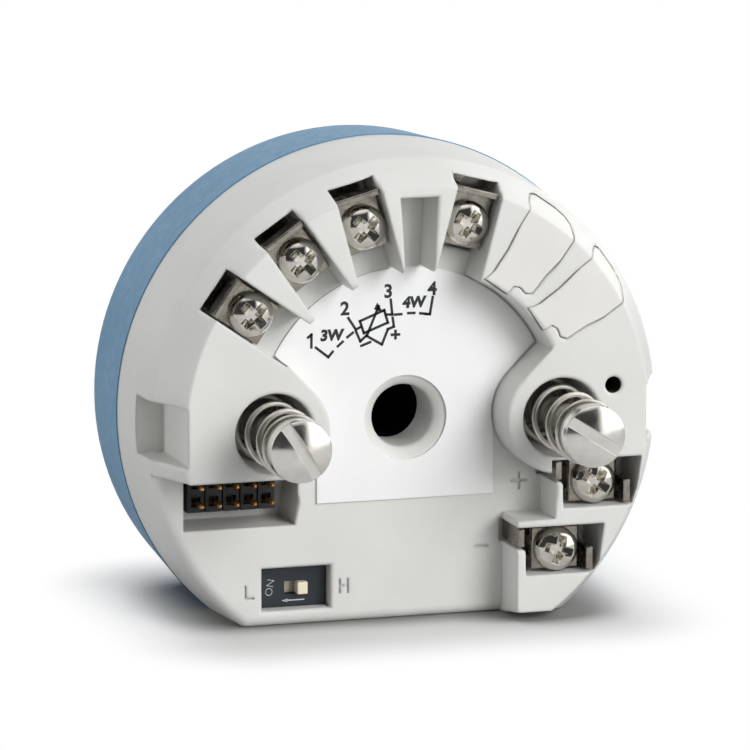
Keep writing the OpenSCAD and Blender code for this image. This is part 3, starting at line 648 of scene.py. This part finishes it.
def letter_h(wide, tall, bar):
    low, high = (tall - bar) / 2, (tall + bar) / 2
    return [(0, 0), (bar, 0), (bar, low), (wide - bar, low), (wide - bar, 0), (wide, 0), (wide, tall),
            (wide - bar, tall), (wide - bar, high), (bar, high), (bar, tall), (0, tall)]


def plus_sign(size, bar):
    low, high = (size - bar) / 2, (size + bar) / 2
    return [(low, 0), (high, 0), (high, low), (size, low), (size, high), (high, high), (high, size),
            (low, size), (low, high), (0, high), (0, low), (low, low)]


def make_cover():
    """The cover with its corners rounded, and its four signs engraved in the floor."""
    cover = rounded_copy("cover", "cover_moulding", 0.38, 0.75, ROUND_FROM)
    signs = [(letter_l(1.1, 1.6, 0.22), -18.45, -19.55), (letter_h(1.15, 1.65, 0.22), -7.6, -19.5),
             (plus_sign(1.9, 0.24), 12.4, -8.9), (rectangle(0.82, 0.12), 9.0, -15.15)]
    tool = joined("signs", [stood(prism("sign", outline, -SIGN_DEPTH, SIGN_DEPTH), x, z, FLOOR)
                            for outline, x, z in signs])
    smooth(cut(cover, tool), weighted=True)
    finish_piece(cover, "housing", "cover", FINISH["cover"], "cover")


def dress_node(node, name, width, room, body, slot, finish):
    """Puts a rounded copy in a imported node's place. The width is the rounding's, and the room is the
    least length of edge that it needs."""
    piece = smooth(rounded_copy(node, name, width, room), weighted=True)
    finish_piece(piece, body, slot, FINISH[finish], node)


make_cover()
dress_node("blank_plugs", "blank_plug_mouldings", 0.12, 0.4, "housing", "plug", "plug")
for node, finish in (("base_cup", "cup"), ("face_label", "label"), ("main_board", "board"),
                     ("board_parts", "chips"), ("transformer", "chips"), ("potting", "resin"),
                     ("switch_body", "switch")):
    finish_node(node, FINISH[finish])
for kind in ("sensor", "power"):
    dress_node(kind + "_contacts", kind + "_contact_strips", 0.1, 0.25, "housing", "nickel", "nickel")


# Label print
def make_label_print():
    """Terminal numbers and the wiring lines of a three-wire and a four-wire sensor."""
    top = FLOOR + LABEL_T + PRINT_LIFT
    digits = {"2": (-7.0, 12.49), "3": (-2.02, 14.18), "4": (3.06, 14.22), "+": (-1.18, 9.24)}
    pieces = [lettering(text, 1.5, x, z, top, thick=0.07) for text, (x, z) in digits.items()]
    pieces += [lettering(text, 1.2, x, z, top, thick=0.09, lean=0.1)
               for text, x, z in (("3W", -8.56, 9.61), ("4W", 0.91, 12.83))]
    figure_one = [(-11.22, 9.55), (-10.84, 9.84), (-10.84, 8.42)]
    to_first = [[(-10.32, 8.36), (-8.9, 7.23), (-8.4, 7.81)], [(-7.8, 8.4), (-7.25, 8.87)],
                [(-6.72, 9.35), (-6.1, 9.81)]]
    to_second = [(-6.61, 11.47), (-5.74, 10.15), (-5.12, 10.45)]
    resistor = [(-5.28, 11.06), (-2.48, 12.15), (-2.06, 10.74), (-4.82, 9.7), (-5.28, 11.06)]
    arrow = [(-4.43, 9.52), (-3.12, 12.63)]
    to_third = [(-1.74, 13.27), (-1.55, 11.61), (-2.29, 11.65)]
    to_fourth = [[(-1.21, 11.59), (-0.51, 11.6)], [(0.29, 11.67), (0.99, 11.66)],
                 [(1.68, 11.58), (2.33, 11.5)], [(2.33, 11.46), (2.79, 11.43), (3.11, 13.32)]]
    minus = [(-5.1, 8.3), (-4.1, 8.66)]
    couple = [(-1.51, 11.25), (-1.36, 10.26), (-2.06, 10.0), (-2.74, 8.32), (-4.54, 9.4), (-5.23, 8.81),
              (-5.74, 9.97)]
    lines = [figure_one, *to_first, to_second, resistor, arrow, to_third, *to_fourth, minus, couple]
    for line in lines:
        pieces += stroke(line, 0.3, top)
    arrow_head = flat_shape("arrow_head", [(-3.68, 12.3), (-3.28, 13.06), (-2.61, 11.9)])
    pieces.append(stood(arrow_head, height=top))
    finish_piece(joined("label_print", pieces), "housing", "label", INK)


make_label_print()


# Header and switch
def make_header():
    """Moulded header, with a groove between its cells and a square mouth round each pin, and its pins."""
    columns = [HEADER_LEFT + PIN_PITCH * (c + 0.5) for c in range(HEADER_COLUMNS)]
    rows = [HEADER_MID + PIN_PITCH * (r - 0.5) for r in range(HEADER_ROWS)]
    half, beyond = HEADER_H / 2, 1
    mouth_half, mouth_depth, groove_half, groove_depth = 0.55, 0.8, 0.1, 0.35
    left, right = HEADER_LEFT, HEADER_LEFT + HEADER_W
    body = prism("header_moulding", [(left, HEADER_MID - half), (right, HEADER_MID - half),
                                     (right, HEADER_MID + half), (left, HEADER_MID + half)],
                 BOARD_TOP, HEADER_TOP)
    mouths = [prism("mouth", rectangle(mouth_half, mouth_half, x, z), HEADER_TOP - mouth_depth,
                    HEADER_TOP + beyond) for x in columns for z in rows]
    grooves = [prism("groove", rectangle(groove_half, half + beyond, x + PIN_PITCH / 2, HEADER_MID),
                     HEADER_TOP - groove_depth, HEADER_TOP + beyond) for x in columns[:-1]]
    cut(body, joined("header_cuts", mouths + grooves))
    finish_piece(stood(body), "housing", "black_plastic", FINISH["black_plastic"], "header_body")
    side, tip = 0.25, 0.13
    shaft = prism("pin_shaft", rectangle(side, side), BOARD_TOP, PIN_TIP - PIN_POINT)
    point = tapered("pin_point", rectangle(side, side), rectangle(tip, tip), PIN_TIP - PIN_POINT, PIN_TIP)
    shape = joined("pin_shape", [shaft, point])
    pins = grown("header_pin_row", [mm(x, z, 0) for x in columns for z in rows], [], COPIES_TREE,
                 Shape=shape, Material=FINISH["gold"])
    bpy.data.objects.remove(shape)
    finish_piece(stood(pins), "housing", "gold", FINISH["gold"], "header_pins")


def make_switch():
    """Knob of the slide switch over its pale slide, and the white print on the switch's face."""
    dress_node("switch_slider", "slide_knob", 0.14, 0.3, "slider", "slider", "slider")
    slide = prism("slide_plate", rectangle(1.25, 0.72, -12.085, -18.86), SWITCH_FACE - 0.99,
                  SWITCH_FACE - 0.9)
    finish_piece(stood(slide), "housing", "slider", FINISH["slide_plate"])
    top = SWITCH_FACE + PRINT_LIFT
    pieces = [lettering("ON", 0.9, -15.0, -18.75, top, turn=80, thick=-0.03)]
    pieces += stroke([(-13.3, -20.3), (-11.1, -20.3)], 0.11, top)
    arrow_head = flat_shape("arrow", [(-13.65, -20.3), (-13.0, -20.48), (-13.0, -20.12)])
    pieces.append(stood(arrow_head, height=top))
    finish_piece(joined("switch_print", pieces), "housing", "switch", WHITE_INK)


make_header()
make_switch()


# Terminal screws and clamps
def pan_screw_mesh():
    """Pan-head screw with a worn cross recess and a threaded shank, its underside at height zero."""
    dome = [(PAN_R * math.cos(math.radians(a)),
             PAN_FLANK + (PAN_H - PAN_FLANK) * math.sin(math.radians(a))) for a in range(0, 90, 9)]
    rim = 0.1
    head = lathe("pan_head", [(0, 0), (PAN_R - rim, 0), (PAN_R, rim)] + dome + [(0, PAN_H)], 56)
    low, high = PAN_H - 1.35, PAN_H + 0.15
    for first, second in ((rectangle(0.7, 0.27), rectangle(2.2, 0.6)),
                          (rectangle(0.27, 0.7), rectangle(0.6, 2.2))):
        cut(head, tapered("cross_arm", first, second, low, high))
    diamond = [[(r, 0), (0, r), (-r, 0), (0, -r)] for r in (0.5, 1.12)]
    cut(head, tapered("cross_middle", diamond[0], diamond[1], low + 0.1, high))
    shank = threaded("pan_shank", PAN_ROOT, PAN_THREAD, PAN_PITCH, -PAN_SHANK, 0.3)
    return smooth(joined("pan_screw", [head, shank]), 28)


def make_terminals():
    """A pan screw and a clamp plate at each terminal."""
    pattern = pan_screw_mesh()
    places = {}
    for tag, angle in TERMINAL_ANGLES.items():
        turn = math.radians(angle)
        places["sensor", tag] = (TERMINAL_R * math.cos(turn), TERMINAL_R * math.sin(turn), PAN_UNDER, angle)
    for tag, (x, z) in POWER_SCREWS.items():
        places["power", tag] = (x, z, POWER_PAN_UNDER, 0)
    for (kind, tag), (x, z, under, lean) in places.items():
        screw = new_object(f"{kind}_pan_screw_{tag}", pattern.data.copy())
        stood(screw, x, z, under, lean + CROSS_TURNS[tag])
        finish_piece(screw, f"{kind}_screw_body_{tag}", "screw_nickel", FINISH["screw_nickel"],
                     f"{kind}_screw_{tag}")
        dress_node(f"{kind}_clamp_{tag}", f"{kind}_clamp_plate_{tag}", 0.14, 0.35,
                   f"{kind}_clamp_body_{tag}", "nickel", "nickel")
    bpy.data.objects.remove(pattern)


make_terminals()


# Mounting screws
def make_mounting_screw(side):
    """Slotted screw with a domed head, a groove for its retaining ring and a threaded tip."""
    ball = (DOME_R * DOME_R + DOME_RISE * DOME_RISE) / (2 * DOME_RISE)
    brim = math.degrees(math.asin(DOME_R / ball))
    angles = [math.radians(brim * (1 - i / DOME_STEPS)) for i in range(DOME_STEPS)]
    dome = [(ball * math.sin(angle), HEAD_H - ball * (1 - math.cos(angle))) for angle in angles]
    rim, beyond = 0.15, 1
    head = lathe("screw_head", [(0, 0), (HEAD_R - rim, 0), (HEAD_R, rim), (HEAD_R, HEAD_H - 1.25),
                                (HEAD_R - 0.05, HEAD_H - 1.06)] + dome + [(0, HEAD_H)], 96)
    slot = prism("slot", rectangle(HEAD_R + beyond, SLOT_W / 2), HEAD_H - SLOT_DEPTH, HEAD_H + beyond)
    slot.data.transform(Matrix.Rotation(math.radians(SLOT_TURNS[side]), 4, "Z"))
    cut(head, slot)
    head.data.transform(Matrix.Translation(mm(0, 0, HEAD_UNDER)))
    shank_top = HEAD_UNDER + 0.2
    shank = lathe("screw_shank", [(0, GROOVE_LOW), (GROOVE_R, GROOVE_LOW), (GROOVE_R, GROOVE_HIGH),
                                  (1.9, GROOVE_HIGH), (SHANK_R, 1.6), (SHANK_R, shank_top),
                                  (0, shank_top)], 48)
    tip = threaded("screw_thread", THREAD_ROOT, SHANK_R, THREAD_PITCH, THREAD_LOW, THREAD_HIGH, 40)
    end = lathe("screw_end", [(0, SCREW_END), (1.45, SCREW_END), (1.75, THREAD_LOW), (1.75, -2.0),
                              (0, -2.0)], 40)
    screw = smooth(joined("slotted_screw_" + side, [head, shank, tip, end]), 30)
    stood(screw, SIDE_SIGN[side] * SCREW_X, 0, -PUSH[side])
    finish_piece(screw, "mounting_screw_body_" + side, "screw_nickel", TURNED[side],
                 "mounting_screw_" + side)
    finish_node("screw_washer_" + side, FINISH["nickel"])
    finish_node("retaining_ring_" + side, FINISH["spring_steel"])


for side in ("left", "right"):
    make_mounting_screw(side)


# Mounting springs
def make_spring(side):
    """Compression spring with its ends closed, which shortens when its screw is pressed in."""
    x, first = SIDE_SIGN[side] * SCREW_X, COIL_START[side]
    top = HEAD_UNDER - WASHER_T - PUSH[side]
    gap, end_rise = COIL_WIRE + 0.02, COIL_WIRE * 3.2
    low, high = SEAT + end_rise, top - end_rise
    points = helix(x, COIL_R, SEAT + gap, low, first - 360, 1)
    points += helix(x, COIL_R, low, high, first, COIL_TURNS)[1:]
    points += helix(x, COIL_R, high, top - gap, first + 360 * COIL_TURNS, 1)[1:]
    spring = wire("mounting_spring_wire_" + side, points, COIL_WIRE, 14, FINISH["spring_steel"])
    finish_piece(spring, "housing", "spring_steel", FINISH["spring_steel"], "mounting_spring_" + side)
    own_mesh(spring)


for side in ("left", "right"):
    make_spring(side)


# Floor and light
def ramp(tree, value, start, end, low, high):
    """A smooth step of a value between two strengths."""
    step = add(tree, "ShaderNodeMapRange", {"Value": value, "From Min": start, "From Max": end,
                                            "To Min": low, "To Max": high},
               interpolation_type="SMOOTHSTEP")
    return step.outputs["Result"]


def make_floor():
    """Plain pale floor: it shows the object's shadow, and a painted shadow from ambient occlusion that is
    darkest where the object stands; away from the object it is as white as the backdrop. It lights the
    object from below as a greyer floor would."""
    reach, foot_x, foot_y, contact, fade_length = 3.0, 19, FRONT / 2, 7, 17
    low = -mm(FLAT_DROP)
    shape = bmesh.new()
    shape.faces.new([shape.verts.new((x, y, low)) for x, y in rectangle(reach, reach)])
    floor = closed_object("plain_floor", shape)
    material, tree, surface, place = start_material("white_floor", Roughness=0.9, Specular_IOR_Level=0.1)
    rays = add(tree, "ShaderNodeLightPath").outputs
    direct = add(tree, "ShaderNodeMath", {0: rays["Is Camera Ray"], 1: rays["Is Glossy Ray"]},
                 operation="MAXIMUM")
    # Painted shadow: within this distance of the object, ambient occlusion darkens the floor's colour towards
    # grey
    open_sky = add(tree, "ShaderNodeAmbientOcclusion", {"Distance": mm(contact)}, samples=24).outputs["AO"]
    painted_contact_shadow = tinted(tree, ramp(tree, open_sky, 0.45, 1.0, 0.0, 1.0), "#8E8E8E", "#E2E2E2")
    shade = add(tree, "ShaderNodeMix", {"A": linear("#A8A8A8"), "B": painted_contact_shadow}, data_type="RGBA")
    tree.links.new(direct.outputs[0], shade.inputs["Factor"])
    tree.links.new(shade.outputs["Result"], surface.inputs["Base Color"])
    # How far a place is outside the object's foot
    centred = add(tree, "ShaderNodeMapping", {"Vector": place, "Location": mm(0, foot_y, 0),
                                              "Scale": (1, 1, 0)})
    sides = add(tree, "ShaderNodeVectorMath", {0: centred.outputs["Vector"]}, operation="ABSOLUTE")
    beyond = add(tree, "ShaderNodeVectorMath", {0: sides.outputs["Vector"], 1: mm(foot_x, foot_y, 0)},
                 operation="SUBTRACT")
    outside = add(tree, "ShaderNodeVectorMath", {0: beyond.outputs["Vector"], 1: (0, 0, 0)},
                  operation="MAXIMUM")
    away = add(tree, "ShaderNodeVectorMath", {0: outside.outputs["Vector"]}, operation="LENGTH")
    fade = ramp(tree, away.outputs["Value"], 0, mm(fade_length), 0, 1)
    seen = add(tree, "ShaderNodeMath", {0: fade, 1: rays["Is Camera Ray"]}, operation="MULTIPLY")
    white = add(tree, "ShaderNodeEmission", {"Color": linear("#FFFFFF"), "Strength": 1.0})
    both = add(tree, "ShaderNodeMixShader",
               {0: seen.outputs[0], 1: surface.outputs["BSDF"], 2: white.outputs[0]})
    output = next(node for node in tree.nodes if node.type == "OUTPUT_MATERIAL")
    tree.links.new(both.outputs[0], output.inputs["Surface"])
    painted(floor, material)


def make_world():
    """White backdrop, even light, and what the metal mirrors: a white sweep below, behind and overhead,
    a softbox on the right, and a dark room at the upper left."""
    world = bpy.data.worlds.new("white_studio")
    world.use_nodes = True
    tree = world.node_tree
    tree.nodes.clear()
    rays = add(tree, "ShaderNodeLightPath").outputs
    way = add(tree, "ShaderNodeTexCoord").outputs["Generated"]
    across, back, up = add(tree, "ShaderNodeSeparateXYZ", {"Vector": way}).outputs
    sweep = add(tree, "ShaderNodeMath", {0: ramp(tree, up, -0.34, 0.02, 0.95, 0.05),
                                         1: ramp(tree, across, 0.3, 0.6, 1, 0.4)}, operation="MULTIPLY")
    softbox = add(tree, "ShaderNodeMath", {0: ramp(tree, across, 0.3, 0.55, 0, 1.7),
                                           1: ramp(tree, up, -0.22, -0.02, 0, 1)}, operation="MULTIPLY")
    overhead, behind = ramp(tree, up, 0.72, 0.93, 0, 1.1), ramp(tree, back, 0.15, 0.6, 0, 0.9)
    strength = sweep.outputs[0]
    for glow in (softbox.outputs[0], overhead, behind):
        strength = add(tree, "ShaderNodeMath", {0: strength, 1: glow}, operation="MAXIMUM").outputs[0]
    shown = add(tree, "ShaderNodeMath", {0: rays["Is Camera Ray"], 1: rays["Is Transmission Ray"]},
                operation="MAXIMUM")
    even = ramp(tree, across, -0.9, 0.9, 0.1, 0.46)
    lit, mirrored, seen = (add(tree, "ShaderNodeBackground", {"Color": linear("#FFFFFF"), "Strength": glow})
                           for glow in (even, strength, 1.0))
    glossy = add(tree, "ShaderNodeMixShader",
                 {0: rays["Is Glossy Ray"], 1: lit.outputs[0], 2: mirrored.outputs[0]})
    mix = add(tree, "ShaderNodeMixShader", {0: shown.outputs[0], 1: glossy.outputs[0], 2: seen.outputs[0]})
    add(tree, "ShaderNodeOutputWorld", {"Surface": mix.outputs[0]})
    bpy.context.scene.world = world


def lamp(name, place, wide, high, power):
    """A softbox aimed at the middle of the object, which metal doesn't mirror."""
    data = bpy.data.lights.new(name, "AREA")
    data.shape = "RECTANGLE"
    data.size = wide
    data.size_y = high
    data.energy = power
    obj = bpy.data.objects.new(name, data)
    obj.location = place
    obj.rotation_euler = (Vector((0, -mm(FRONT) / 2, 0)) - Vector(place)).to_track_quat("-Z", "Y").to_euler()
    obj.visible_glossy = False
    bpy.context.scene.collection.objects.link(obj)


make_floor()
make_world()
lamp("key_softbox", (0.42, -0.75, 0.42), 0.5, 0.5, 6.2)
lamp("front_softbox", (0.3, -0.88, 0.02), 0.6, 0.6, 3.0)
lamp("left_softbox", (-0.85, 0.05, 0.06), 0.5, 0.4, 3.6)
lamp("top_softbox", (-0.45, -0.25, 0.8), 0.6, 0.6, 1.0)
lamp("back_softbox", (0.0, 0.55, 0.75), 0.5, 0.3, 2.0)

bpy.context.scene.view_settings.view_transform = "Standard"
